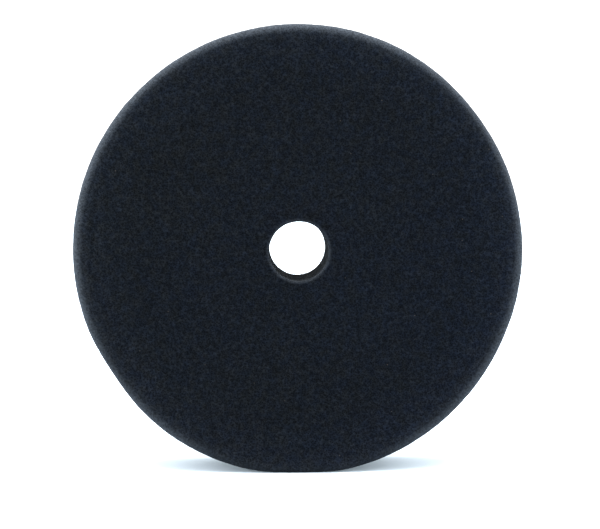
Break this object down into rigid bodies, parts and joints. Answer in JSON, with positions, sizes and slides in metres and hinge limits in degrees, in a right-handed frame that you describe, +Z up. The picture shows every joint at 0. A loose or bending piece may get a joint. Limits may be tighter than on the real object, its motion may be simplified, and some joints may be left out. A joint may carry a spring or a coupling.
{
  "type": "polishing pad",
  "caption": "Round foam polishing pad with a rounded working edge, a punched centre hole and a loop-fabric back that grips a polisher's hook-faced backing plate.",
  "frame": {"origin": "under the pad's centre, on the surface that the rim stands on", "axes": "+Z up; +Y along the pad's axis, from the working face to the loop face; +X across the pad, to the right when the working face is looked at"},
  "size_m": [0.15, 0.025, 0.1497],
  "materials": {
    "foam": "matt open-cell polyurethane foam, blue-black",
    "adhesive": "dark grey hot-melt film, satin at the cut edge",
    "ground_knit": "black warp-knitted nylon",
    "pile": "black brushed nylon loops with a slight sheen"
  },
  "bodies": {
    "root": {"foam_body": "foam", "adhesive_film": "adhesive", "loop_ground": "ground_knit", "loop_pile": "pile"}
  },
  "joints": []
}
